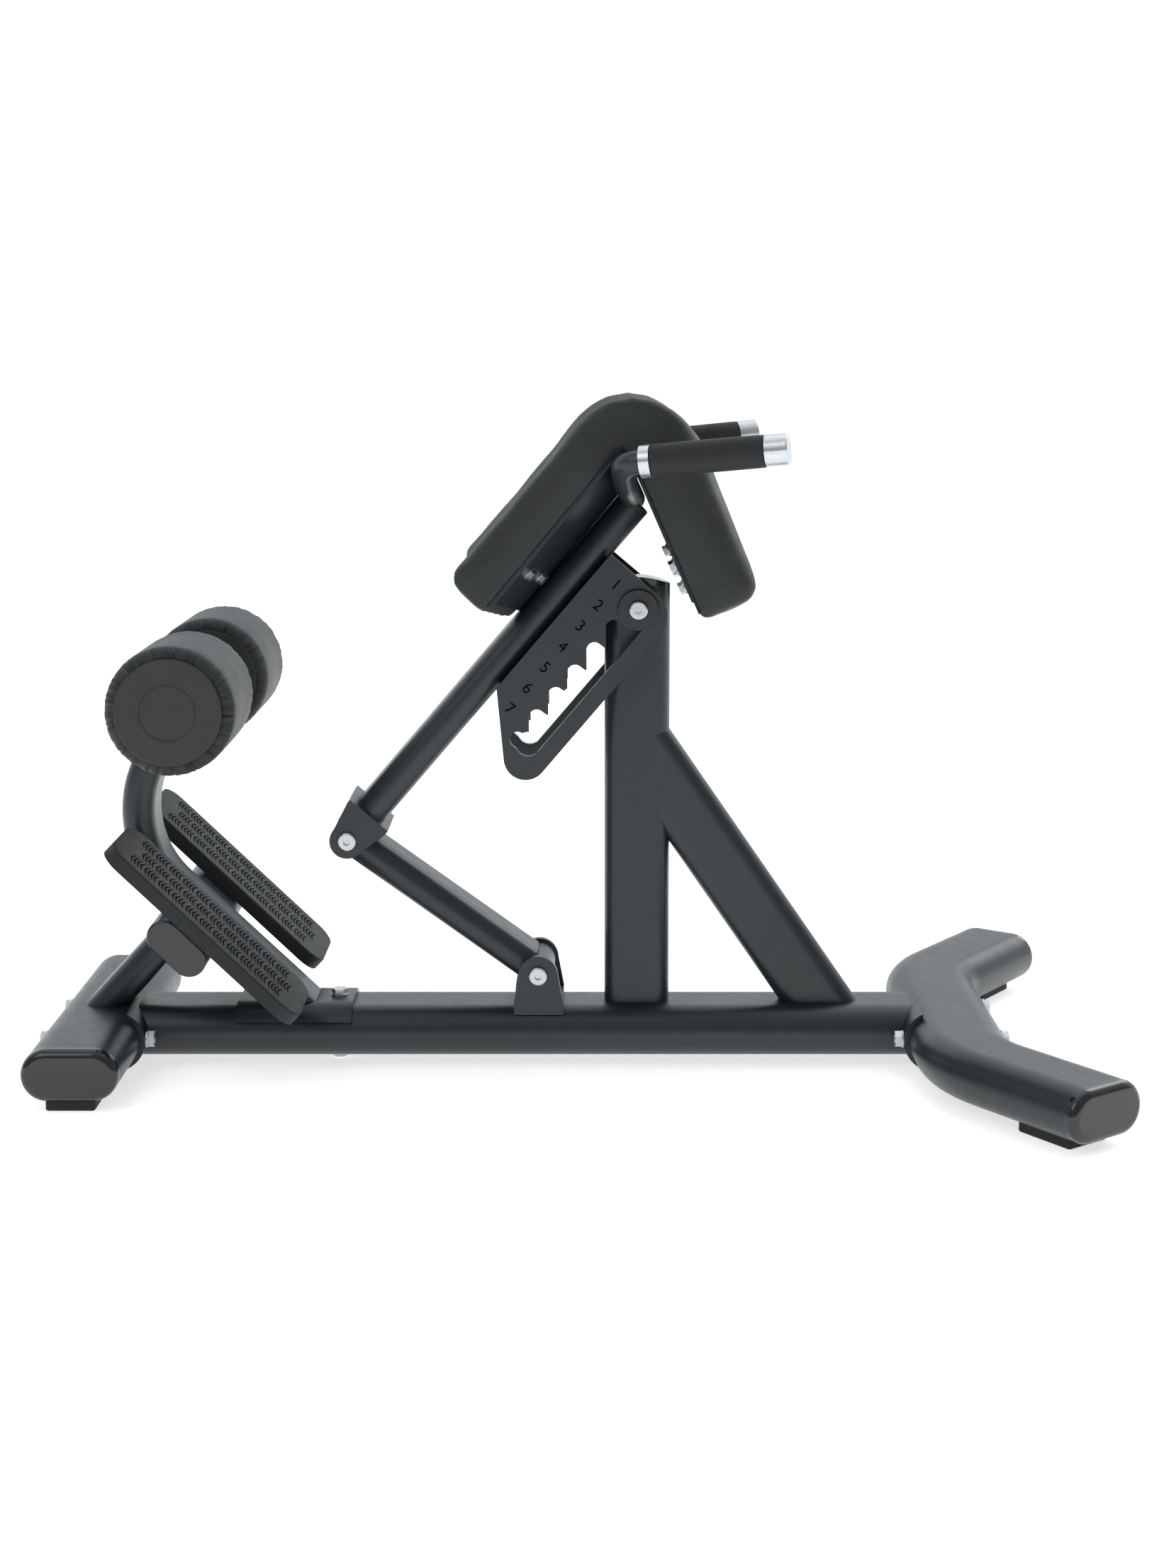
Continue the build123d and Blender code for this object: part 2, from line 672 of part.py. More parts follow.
def footplate_back():
    length, width, _ = PLATE_SIZE
    plane = plate_plane(PLATE_MIDDLE, 0, PLATE_Y)
    sheet = extrude(plane * RectangleRounded(length - 20.4, width - 20.4, 15.8), amount=3.0 - FIT)
    for along, y in footplate_bolt_places():
        sheet -= extrude(plate_plane(along, -1, y) * Circle(4.2), amount=11)
    return sheet


def footplate_bolt_places():
    half = PLATE_SIZE[0] / 2 - 30
    return [(PLATE_MIDDLE + a, PLATE_Y + b) for a in (-half, half) for b in (-38, 38)]


def footplate_bolts():
    bolts = []
    for along, y in footplate_bolt_places():
        plane = plate_plane(along, 0, y)
        head = extrude(plane * Circle(8.0), amount=-6.0)
        head = fillet(head.edges().group_by(lambda e: plane.to_local_coords(e.center()).Z)[0], 3.5)
        bolts += both_sides(head + extrude(plate_plane(along, 0, y) * Circle(4.0), amount=10.0))
    return bolts


def footplate_arm():
    centre = plate_point(ARM_ALONG, -SMALL[1] / 2)
    c, s = cos(radians(PLATE_ANGLE)), sin(radians(PLATE_ANGLE))
    outer = PLATE_Y + PLATE_SIZE[1] / 2 - 4.0
    arm = tube((centre[0], 15, centre[1]), (centre[0], outer, centre[1]), SMALL, (c, 0, -s))
    return arm - mast_sweep(SMALL)


def footplate_arm_caps():
    centre = plate_point(ARM_ALONG, -SMALL[1] / 2)
    c, s = cos(radians(PLATE_ANGLE)), sin(radians(PLATE_ANGLE))
    outer = PLATE_Y + PLATE_SIZE[1] / 2 - 4.0
    plane = Plane(origin=(centre[0], outer, centre[1]), x_dir=(c, 0, -s), z_dir=(0, 1, 0))
    return both_sides(oval_cap(SMALL, plane, 4.0, 18.0, 2.5))


def mast_brace():
    (x0, z0), (x1, z1) = MAST_BRACE
    body = tube((x0, 0, z0), (x1, 0, z1), SMALL, (0, 1, 0))
    foot = bar((REAR_X, -99, FLOOR_TUBE_Z), (REAR_X, 99, FLOOR_TUBE_Z), BIG, (1, 0, 0))
    body = body - foot - mast_sweep(SMALL) - block(-700, -400, -99, 99, 0, FLOOR_TUBE_Z)
    for arm in both_sides(footplate_arm_solid()):
        body -= arm
    return body


def footplate_arm_solid():
    centre = plate_point(ARM_ALONG, -SMALL[1] / 2)
    c, s = cos(radians(PLATE_ANGLE)), sin(radians(PLATE_ANGLE))
    return bar((centre[0], 15, centre[1]), (centre[0], 180, centre[1]), SMALL, (c, 0, -s))


def roller_parts():
    """Foam, core and end discs of the roller on the +Y side."""
    foam = ring(AXLE, ROLLER_IN + 1, ROLLER_OUT, ROLLER_D, ROLLER_CORE_D + FIT)
    rims = foam.edges().filter_by(GeomType.CIRCLE).group_by(SortBy.RADIUS)[-1]
    foam = fillet(rims, 10.0)
    core = ring(AXLE, ROLLER_IN, ROLLER_OUT, ROLLER_CORE_D, AXLE_D + 2 * FIT)
    core -= cross_rod(AXLE, 205.5, ROLLER_OUT, 42.0)
    inner = ring(AXLE, ROLLER_IN - DISC, ROLLER_IN, ROLLER_DISC_D, AXLE_D + 2)
    outer = cross_rod(AXLE, ROLLER_OUT, ROLLER_OUT + DISC, ROLLER_DISC_D)
    outer = fillet(outer.edges().group_by(Axis.Y)[-1], 1.5)
    outer -= ring(AXLE, ROLLER_OUT + DISC - 0.8, ROLLER_OUT + DISC, 66.0, 62.0)
    return foam, core, [inner, outer]


def axle_parts():
    end = 207.0
    axle = cross_rod(AXLE, -end, end, AXLE_D - FIT)
    for side in (-1, 1):
        axle -= cross_rod(AXLE, side * (end - 22), side * end, 10.2)
    spacers = both_sides(ring(AXLE, MAST_SLEEVE[1], ROLLER_IN - DISC - GAP, 40.0, AXLE_D + FIT))
    washers = both_sides(ring(AXLE, end, end + 3, 36.0, 10.2))
    screw = hexagon((AXLE[0], end + 3, AXLE[1]), (0, 1, 0), 17.0, 6.0)
    screw += cross_rod(AXLE, end - 20, end + 3, 10.0)
    return axle, spacers, washers, both_sides(screw)


# All pieces, by node name

def pieces():
    out = {"main_beam": main_beam(), "rear_foot": rear_foot(), "front_foot": front_foot()}
    out["rear_foot_caps"] = rear_caps()
    out["front_foot_caps"] = front_caps()
    out["rear_rubber_feet"] = both_sides(rubber_foot(REAR_X, REAR_RUBBER[2], REAR_RUBBER, 0))
    out["front_rubber_feet"] = front_rubber_feet()
    out["foot_flanges"] = [flange(REAR_X, 1), flange(FRONT_X, -1)]
    out["foot_bolts"], washers, nuts = foot_fasteners()
    out["post"] = post()
    out["post_cap"] = post_cap()
    out["post_brace"] = post_brace()
    out["post_pin"], post_screws, out["post_pin_spacers"], out["post_pin_discs"] = post_pin_parts()
    out["link_bracket"] = link_bracket()
    out["base_pin"], base_screws = pin_with_screws(PIN_BASE, PIN_D, EAR_OUT)
    out["fixed_pin_screws"] = post_screws + base_screws
    out["link"] = link()
    out["link_bushes"] = link_bushes()
    out["elbow_pin"], out["elbow_pin_screws"] = pin_with_screws(PIN_ELBOW, PIN_D, EAR_OUT)
    out["lever_clevis"] = clevis()
    out["lever"] = lever()
    out["ladder_web"] = ladder_web()
    out["handle_bar"] = handle_bar()
    out["handle_collars"] = handle_collars()
    out["handle_end_caps"] = handle_end_caps()
    out["pad_bolts"] = pad_bolts()
    out["mast"] = mast()
    out["mast_saddle"] = saddle()
    start = (SADDLE_BOLT_X, 0, TOP_Z + SADDLE[2] + M10[3])
    out["saddle_bolt"], pair, nut = bolt_set(start, (0, 0, -1), BIG[1] + SADDLE[2], M10)
    out["frame_washers"] = washers + pair
    out["frame_nuts"] = nuts + [nut]
    out["mast_brace"] = mast_brace()
    out["footplate_arm_caps"] = footplate_arm_caps()
    out["footplate_bolts"] = footplate_bolts()
    out["footplate_backs"] = both_sides(footplate_back())
    out["footplate_arms"] = both_sides(footplate_arm())
    out["roller_axle"], out["axle_spacers"], out["axle_washers"], out["axle_screws"] = axle_parts()
    foam, core, discs = roller_parts()
    paired = {
        "ladder_plate": ladder_plate(), "grip": handle_grip(), "thigh_pad": pad(), "pad_plate": pad_plate(),
        "footplate": footplate(), "roller_pad": foam, "roller_core": core,
    }
    for name, solid in paired.items():
        out[name + "_far"], out[name + "_near"] = both_sides(solid)
    out["roller_discs_far"] = discs
    out["roller_discs_near"] = [mirror(d, about=Plane.XZ) for d in discs]
    return out


def export_all():
    os.makedirs("parts", exist_ok=True)
    shift = Pos(-CENTRE_X, 0, 0)
    low, high = 1e9, -1e9
    for name, shape in pieces().items():
        group = shape if isinstance(shape, list) else [shape]
        solids = [shift * s for item in group for s in item.solids()]
        body = solids[0] if len(solids) == 1 else Compound(children=solids)
        box = body.bounding_box()
        low, high = min(low, box.min.X), max(high, box.max.X)
        export_step(body, os.path.join("parts", name + ".step"))
        print(name, len(solids), round(sum(s.volume for s in solids)))
    print("length", round(low, 2), round(high, 2))


export_all()
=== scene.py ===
import json
import math

import bmesh
import bpy
from mathutils import Matrix, Vector, noise


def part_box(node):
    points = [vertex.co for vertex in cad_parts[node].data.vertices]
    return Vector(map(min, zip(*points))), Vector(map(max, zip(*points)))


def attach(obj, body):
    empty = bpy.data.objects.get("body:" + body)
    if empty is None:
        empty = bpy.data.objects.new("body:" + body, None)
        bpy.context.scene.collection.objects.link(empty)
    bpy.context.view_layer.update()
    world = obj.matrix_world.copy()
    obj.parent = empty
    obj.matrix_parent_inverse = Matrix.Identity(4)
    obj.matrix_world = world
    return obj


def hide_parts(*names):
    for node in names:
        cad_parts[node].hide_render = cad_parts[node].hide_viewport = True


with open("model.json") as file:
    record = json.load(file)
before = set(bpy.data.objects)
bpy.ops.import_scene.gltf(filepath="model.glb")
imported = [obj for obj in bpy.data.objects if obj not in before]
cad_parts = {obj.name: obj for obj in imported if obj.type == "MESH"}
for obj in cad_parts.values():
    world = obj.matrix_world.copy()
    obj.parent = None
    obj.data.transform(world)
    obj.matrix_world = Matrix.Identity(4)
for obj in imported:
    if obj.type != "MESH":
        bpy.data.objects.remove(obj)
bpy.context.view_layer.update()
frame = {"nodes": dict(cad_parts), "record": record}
NODES = frame["nodes"]

MM = 0.001


# ---------------------------------------------------------------- materials

class Nodes:
    """A small helper that builds one material's node tree."""

    def __init__(self, name):
        self.mat = bpy.data.materials.new(name)
        self.mat.use_nodes = True
        self.tree = self.mat.node_tree
        self.bsdf = self.tree.nodes["Principled BSDF"]

    def add(self, kind, **values):
        node = self.tree.nodes.new(kind)
        for key, value in values.items():
            setattr(node, key, value)
        return node

    def link(self, out_socket, in_socket):
        self.tree.links.new(out_socket, in_socket)

    def coords(self, scale=(1, 1, 1)):
        mapping = self.add("ShaderNodeMapping")
        mapping.inputs["Scale"].default_value = scale
        self.link(self.add("ShaderNodeTexCoord").outputs["Object"], mapping.inputs["Vector"])
        return mapping.outputs["Vector"]

    def noise(self, scale, detail=3.0, vector=None, rough=0.55):
        node = self.add("ShaderNodeTexNoise")
        node.inputs["Scale"].default_value = scale
        node.inputs["Detail"].default_value = detail
        node.inputs["Roughness"].default_value = rough
        self.link(vector or self.coords(), node.inputs["Vector"])
        return node.outputs["Fac"]

    def cells(self, scale, feature="F1", vector=None):
        node = self.add("ShaderNodeTexVoronoi", feature=feature)
        node.inputs["Scale"].default_value = scale
        self.link(vector or self.coords(), node.inputs["Vector"])
        return node.outputs["Distance"]

    def ramp(self, value, low, high, dark, light):
        node = self.add("ShaderNodeMapRange")
        node.inputs["From Min"].default_value = low
        node.inputs["From Max"].default_value = high
        node.inputs["To Min"].default_value = dark
        node.inputs["To Max"].default_value = light
        self.link(value, node.inputs["Value"])
        return node.outputs["Result"]

    def tint(self, value, dark, light):
        node = self.add("ShaderNodeMix", data_type="RGBA")
        node.inputs["A"].default_value = (*dark, 1)
        node.inputs["B"].default_value = (*light, 1)
        self.link(value, node.inputs["Factor"])
        self.link(node.outputs["Result"], self.bsdf.inputs["Base Color"])

    def math(self, kind, a, b):
        node = self.add("ShaderNodeMath", operation=kind)
        for socket, value in zip(node.inputs, (a, b)):
            if isinstance(value, (int, float)):
                socket.default_value = value
            else:
                self.link(value, socket)
        return node.outputs["Value"]

    def bump(self, height, strength, distance):
        node = self.add("ShaderNodeBump")
        node.inputs["Strength"].default_value = strength
        node.inputs["Distance"].default_value = distance
        self.link(height, node.inputs["Height"])
        self.link(node.outputs["Normal"], self.bsdf.inputs["Normal"])

    def rough(self, value):
        self.link(value, self.bsdf.inputs["Roughness"])

    def set(self, **values):
        for key, value in values.items():
            self.bsdf.inputs[key.replace("_", " ")].default_value = value


def powder_coat():
    n = Nodes("powder_coat")
    cloud = n.noise(9.0, 4.0)
    peel = n.noise(900.0, 2.0)
    n.tint(n.ramp(cloud, 0.3, 0.7, 0, 1), (0.0118, 0.0155, 0.0182), (0.0160, 0.0205, 0.0240))
    n.rough(n.ramp(n.noise(60.0, 5.0), 0.2, 0.8, 0.30, 0.40))
    n.bump(peel, 0.22, 0.0006)
    n.set(Metallic=0.0, Specular_IOR_Level=0.5)
    return n.mat


def gloss_plastic():
    n = Nodes("gloss_plastic")
    n.tint(n.noise(20.0), (0.008, 0.009, 0.010), (0.014, 0.015, 0.017))
    n.rough(n.ramp(n.noise(120.0, 4.0), 0.25, 0.75, 0.10, 0.17))
    n.bump(n.noise(35.0, 2.0), 0.05, 0.001)
    n.set(Specular_IOR_Level=0.6)
    return n.mat


def matt_plastic(name, dark, light, rough_low, rough_high, grain, shine=0.5):
    n = Nodes(name)
    n.tint(n.noise(25.0, 4.0), dark, light)
    n.rough(n.ramp(n.noise(90.0, 4.0), 0.2, 0.8, rough_low, rough_high))
    n.bump(n.noise(grain, 3.0), 0.30, 0.0006)
    n.set(Specular_IOR_Level=shine)
    return n.mat


def vinyl(name, dark, light):
    """Fine leather grain: small cells whose joints are sunk, with a softer cloudy wear."""
    n = Nodes(name)
    wobble = n.add("ShaderNodeVectorMath", operation="ADD")
    n.link(n.coords(), wobble.inputs[0])
    warp = n.add("ShaderNodeTexNoise")
    warp.inputs["Scale"].default_value = 260.0
    n.link(n.coords(), warp.inputs["Vector"])
    shrink = n.add("ShaderNodeVectorMath", operation="SCALE")
    shrink.inputs["Scale"].default_value = 0.0022
    n.link(warp.outputs["Color"], shrink.inputs[0])
    n.link(shrink.outputs["Vector"], wobble.inputs[1])
    grain = n.cells(520.0, "DISTANCE_TO_EDGE", wobble.outputs["Vector"])
    crease = n.ramp(grain, 0.0, 0.22, 0.0, 1.0)
    n.tint(n.math("MULTIPLY", crease, n.noise(7.0, 3.0)), dark, light)
    wear = n.ramp(n.noise(18.0, 4.0), 0.3, 0.7, 0.42, 0.54)
    n.rough(n.math("ADD", n.ramp(crease, 0, 1, 0.08, 0.0), wear))
    n.bump(crease, 0.42, 0.0007)
    n.set(Specular_IOR_Level=0.45, Sheen_Weight=0.08, Sheen_Roughness=0.4)
    return n.mat


def rubber(name, grain=700.0, rough=0.62):
    n = Nodes(name)
    n.tint(n.noise(30.0, 4.0), (0.010, 0.0105, 0.011), (0.019, 0.020, 0.021))
    n.rough(n.ramp(n.noise(200.0, 3.0), 0.2, 0.8, rough, rough + 0.12))
    n.bump(n.noise(grain, 3.0), 0.35, 0.0008)
    n.set(Specular_IOR_Level=0.35)
    return n.mat


def bare_metal(name, base, low, high, stretch):
    """Brushed or plated metal: streaks along one direction in colour, roughness and relief."""
    n = Nodes(name)
    streak = n.noise(1.0, 4.0, n.coords(stretch))
    n.tint(n.ramp(streak, 0.3, 0.7, 0, 1), tuple(c * 0.86 for c in base), base)
    n.rough(n.ramp(streak, 0.2, 0.8, low, high))
    n.bump(streak, 0.04, 0.0002)
    n.set(Metallic=1.0)
    return n.mat


def floor_material():
    n = Nodes("studio_floor")
    n.tint(n.noise(3.0), (0.88, 0.885, 0.89), (0.90, 0.905, 0.91))
    n.set(Roughness=0.55, Specular_IOR_Level=0.2, Emission_Color=(1.0, 1.0, 1.0, 1), Emission_Strength=0.65)
    return n.mat


MAT = {
    "frame_paint": powder_coat(),
    "cap_plastic": gloss_plastic(),
    "black_plastic": matt_plastic("black_plastic", (0.012, 0.013, 0.014), (0.020, 0.021, 0.022),
                                  0.42, 0.55, 600.0),
    "rubber": rubber("rubber"),
    "vinyl": vinyl("vinyl", (0.0080, 0.0098, 0.0112), (0.023, 0.0275, 0.0310)),
    "aluminium": bare_metal("aluminium", (0.62, 0.64, 0.66), 0.26, 0.36, (90, 420, 90)),
    "zinc_steel": bare_metal("zinc_steel", (0.56, 0.58, 0.60), 0.26, 0.40, (260, 260, 260)),
}
SEAM = matt_plastic("seam_welt", (0.004, 0.004, 0.005), (0.008, 0.008, 0.009), 0.5, 0.6, 900.0)
MARK = matt_plastic("mark_ink", (0.0008, 0.0008, 0.001), (0.002, 0.002, 0.002), 0.80, 0.92, 900.0, 0.05)
TREAD = matt_plastic("tread_moulding", (0.010, 0.012, 0.013), (0.017, 0.019, 0.021), 0.55, 0.7, 420.0, 0.4)
# Near-black with little shine: painted shade standing in for the shadow inside the footplate tread grooves.
SHADOW_GROOVE = matt_plastic("tread_groove_painted_shade", (0.002, 0.002, 0.003), (0.004, 0.004, 0.005),
                             0.75, 0.9, 900.0, 0.08)


def paint_cad():
    slots = {row["node"]: row["material_slot"] for row in frame["record"]["subparts"]}
    for name, obj in NODES.items():
        for index in range(max(1, len(obj.material_slots))):
            if obj.material_slots:
                obj.material_slots[index].material = MAT[slots[name]]
            else:
                obj.data.materials.append(MAT[slots[name]])
    for name in ("footplate_near", "footplate_far"):
        NODES[name].material_slots[0].material = TREAD


# ---------------------------------------------------------------- mesh helpers

def make_object(name, verts, faces, material, smooth=True):
    mesh = bpy.data.meshes.new(name)
    mesh.from_pydata([tuple(v) for v in verts], [], faces)
    mesh.validate()
    mesh.update()
    obj = bpy.data.objects.new(name, mesh)
    bpy.context.collection.objects.link(obj)
    mesh.materials.append(material)
    for poly in mesh.polygons:
        poly.use_smooth = smooth
    return obj


def fix_normals(obj):
    bm = bmesh.new()
    bm.from_mesh(obj.data)
    bmesh.ops.recalc_face_normals(bm, faces=bm.faces)
    bm.to_mesh(obj.data)
    bm.free()


def apply_modifiers(obj):
    """Replaces the mesh by its evaluated form and drops the modifiers."""
    graph = bpy.context.evaluated_depsgraph_get()
    mesh = bpy.data.meshes.new_from_object(obj.evaluated_get(graph))
    obj.modifiers.clear()
    old = obj.data
    obj.data = mesh
    bpy.data.meshes.remove(old)


def mirrored(obj, name):
    """A copy on the other side of the middle plane."""
    copy = bpy.data.objects.new(name, obj.data.copy())
    bpy.context.collection.objects.link(copy)
    copy.data.transform(Matrix.Scale(-1, 4, (0, 1, 0)))
    copy.data.flip_normals()
    return copy


def lathe(name, centre, profile, turns, material, wobble=None):
    """Turns a closed profile of (radius, y) points about a line along Y through centre."""
    verts, faces = [], []
    count = len(profile)
    for i in range(turns):
        angle = 2 * math.pi * i / turns
        for j, (radius, y) in enumerate(profile):
            r, yy = wobble(angle, j, radius, y) if wobble else (radius, y)
            verts.append((centre[0] + r * math.cos(angle), centre[1] + yy, centre[2] + r * math.sin(angle)))
    for i in range(turns):
        k = (i + 1) % turns
        for j in range(count):
            m = (j + 1) % count
            faces.append((i * count + j, k * count + j, k * count + m, i * count + m))
    obj = make_object(name, verts, faces, material)
    fix_normals(obj)
    return obj


def smooth_noise(x, y=0.0, z=0.0):
    return noise.noise(Vector((x, y, z)))


# ---------------------------------------------------------------- thigh pads

PAD_OUT = 160.0
PAD_IN = 14.0
PAD_TILT = 0.26
LONG_ANGLE = math.radians(50.2)
SHORT_ANGLE = math.radians(68.2)
SHORT_INNER_ANGLE = math.radians(66.4)
PAD_THICK = 56.0
PAD_SHORT_THICK = 71.5
CROWN_R = 80.0
SHIFT_X = 11.62
HEEL = Vector((-152.5 + SHIFT_X, 611.7))
TOE = Vector((213.2 + SHIFT_X, 592.1))
PAD_OUTER_EDGE = 14.0
PAD_INNER_EDGE = 8.0
PAD_FULL = 1.5
PAD_CORNER_R = 20.0
PAD_SWELL = 3.4 * MM
VOXEL = 5.0 * MM


def way(angle):
    return Vector((math.cos(angle), math.sin(angle)))


def meet(p, a, q, b):
    gap = q - p
    t = (gap.x * b.y - gap.y * b.x) / (a.x * b.y - a.y * b.x)
    return p + a * t


def rounded(corners, radii, steps=7):
    """A closed outline whose corners are replaced by arcs of the given radii."""
    points = []
    count = len(corners)
    for i, corner in enumerate(corners):
        before = (corners[i - 1] - corner).normalized()
        after = (corners[(i + 1) % count] - corner).normalized()
        half = before.angle(after) / 2
        reach = radii[i] / math.tan(half)
        centre = corner + (before + after).normalized() * (radii[i] / math.sin(half))
        start = corner + before * reach - centre
        turn = start.angle_signed(corner + after * reach - centre)
        for k in range(steps + 1):
            angle = -turn * k / steps
            c, s = math.cos(angle), math.sin(angle)
            points.append(centre + Vector((start.x * c - start.y * s, start.x * s + start.y * c)))
    return points


def pad_corners(y, inset):
    """Side-view corners at distance y from the middle, moved inwards by inset."""
    long_way, down = way(LONG_ANGLE), way(LONG_ANGLE - math.pi / 2)
    drop = down * ((PAD_OUT - y) * PAD_TILT)
    heel = HEEL + drop + (long_way + down) * inset
    heel_in = HEEL + drop + down * PAD_THICK + long_way * inset
    short_way = way(math.pi - SHORT_ANGLE)
    across = way(math.pi / 2 - SHORT_ANGLE)
    toe = TOE - across * inset + short_way * inset
    toe_in = TOE - across * PAD_SHORT_THICK + short_way * inset
    crown = meet(heel, long_way, toe, short_way)
    crotch = meet(heel_in, long_way, toe_in, way(math.pi - SHORT_INNER_ANGLE))
    return [heel, crown, toe, toe_in, crotch, heel_in]


def pad_outline(y, inset, edge):
    return rounded(pad_corners(y, inset), [edge, CROWN_R - inset, edge, 6.0, 4.0, 6.0])


def quarter(radius, share):
    """Distance along and across a rounded edge, at a share of its quarter turn."""
    angle = math.pi / 2 * share
    return radius * math.sin(angle), radius * (1 - math.cos(angle))


def pad_blank():
    """The cut foam before it is covered: rounded towards its two side faces."""
    rings = []
    for k in range(4, -1, -1):
        out, in_ = quarter(PAD_INNER_EDGE, k / 4)
        rings.append((PAD_IN - PAD_FULL + PAD_INNER_EDGE - out, in_ - PAD_FULL))
    for k in range(7):
        out, in_ = quarter(PAD_OUTER_EDGE, k / 6)
        rings.append((PAD_OUT + PAD_FULL - PAD_OUTER_EDGE + out, in_ - PAD_FULL))
    verts, faces = [], []
    for y, inset in rings:
        for p in pad_outline(y, inset, PAD_CORNER_R):
            verts.append((p.x * MM, -y * MM, p.y * MM))
    count = len(verts) // len(rings)
    for r in range(len(rings) - 1):
        for j in range(count):
            m = (j + 1) % count
            faces.append((r * count + j, (r + 1) * count + j, (r + 1) * count + m, r * count + m))
    faces.append(tuple(range(count)))
    faces.append(tuple(range((len(rings) - 1) * count, len(rings) * count)))
    obj = make_object("thigh_pad_cover_near", verts, faces, MAT["vinyl"])
    fix_normals(obj)
    return obj


def underside_gap(p):
    """Distance of a point above the pad's flat underside, in millimetres."""
    corners = pad_corners(abs(p.y) / MM, 0.0)
    q = Vector((p.x / MM, p.z / MM))
    crotch, heel_in, toe_in = corners[4], corners[5], corners[3]
    best = None
    for a, b in ((heel_in, crotch), (toe_in, crotch)):
        line = (b - a).normalized()
        t = max(0.0, min((b - a).length, (q - a).dot(line)))
        gap = (q - (a + line * t)).length
        best = gap if best is None else min(best, gap)
    return best


def inflate(obj, cap, frames=20):
    """Fills the cover with cloth pressure, then limits how far each point may have moved."""
    remesh = obj.modifiers.new("remesh", "REMESH")
    remesh.mode = "VOXEL"
    remesh.voxel_size = VOXEL
    apply_modifiers(obj)
    start = [v.co.copy() for v in obj.data.vertices]
    cloth = obj.modifiers.new("cloth", "CLOTH")
    cloth.settings.use_pressure = True
    cloth.settings.uniform_pressure_force = 4.0
    cloth.settings.effector_weights.gravity = 0.0
    cloth.settings.quality = 5
    cloth.point_cache.frame_start = 1
    cloth.point_cache.frame_end = frames
    scene = bpy.context.scene
    for step in range(1, frames + 1):
        scene.frame_set(step)
    apply_modifiers(obj)
    scene.frame_set(1)
    for vertex, rest in zip(obj.data.vertices, start):
        move = vertex.co - rest
        reach = cap * min(1.0, max(0.0, (underside_gap(rest) - 6.0) / 22.0))
        if move.length > reach:
            move = move.normalized() * reach if move.length else move
        vertex.co = rest + move
    return obj


def pad_finish(obj):
    """Softens the remeshed surface and adds the shallow pulls of a stretched cover."""
    smooth = obj.modifiers.new("relax", "CORRECTIVE_SMOOTH")
    smooth.factor = 0.5
    smooth.iterations = 6
    smooth.use_only_smooth = True
    divide = obj.modifiers.new("divide", "SUBSURF")
    divide.levels = divide.render_levels = 1
    apply_modifiers(obj)
    normals = [vertex.normal.copy() for vertex in obj.data.vertices]
    for vertex, normal in zip(obj.data.vertices, normals):
        p = vertex.co
        ripple = smooth_noise(p.x * 34, p.y * 20, p.z * 34) * 0.45
        ripple += smooth_noise(p.x * 90, p.y * 60, p.z * 90) * 0.15
        vertex.co = p + normal * ripple * MM
    for poly in obj.data.polygons:
        poly.use_smooth = True


def tube_along(name, points, radius, material, closed=False):
    """A welt or seam: a thin tube through the points."""
    curve = bpy.data.curves.new(name, "CURVE")
    curve.dimensions = "3D"
    curve.bevel_depth = radius
    curve.bevel_resolution = 3
    spline = curve.splines.new("POLY")
    spline.points.add(len(points) - 1)
    for slot, point in zip(spline.points, points):
        slot.co = (*point, 1)
    spline.use_cyclic_u = closed
    holder = bpy.data.objects.new(name + "_curve", curve)
    bpy.context.collection.objects.link(holder)
    graph = bpy.context.evaluated_depsgraph_get()
    mesh = bpy.data.meshes.new_from_object(holder.evaluated_get(graph))
    bpy.data.objects.remove(holder)
    obj = bpy.data.objects.new(name, mesh)
    bpy.context.collection.objects.link(obj)
    mesh.materials.clear()
    mesh.materials.append(material)
    for poly in mesh.polygons:
        poly.use_smooth = True
    return obj


def pad_welt():
    """The seam along the outer lower edge, where the cover is turned under the board."""
    corners = pad_corners(PAD_OUT - 5.0, 5.0)
    heel_in, crotch, toe_in = corners[5], corners[4], corners[3]
    points = []
    for a, b in ((heel_in, crotch), (crotch, toe_in)):
        steps = 24
        for k in range(steps):
            q = a.lerp(b, (k + 0.5) / steps)
            points.append((q.x * MM, -(PAD_OUT - 4.0) * MM, q.y * MM))
    return tube_along("thigh_pad_welt_near", points, 1.3 * MM, SEAM)


def build_pads():
    near = inflate(pad_blank(), PAD_SWELL)
    pad_finish(near)
    far = mirrored(near, "thigh_pad_cover_far")
    welt = pad_welt()
    welt_far = mirrored(welt, "thigh_pad_welt_far")
    for side, cover, seam in (("near", near, welt), ("far", far, welt_far)):
        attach(cover, "lever")
        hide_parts("thigh_pad_" + side)
        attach(seam, "lever")


# ---------------------------------------------------------------- rollers

PLEATS = 34


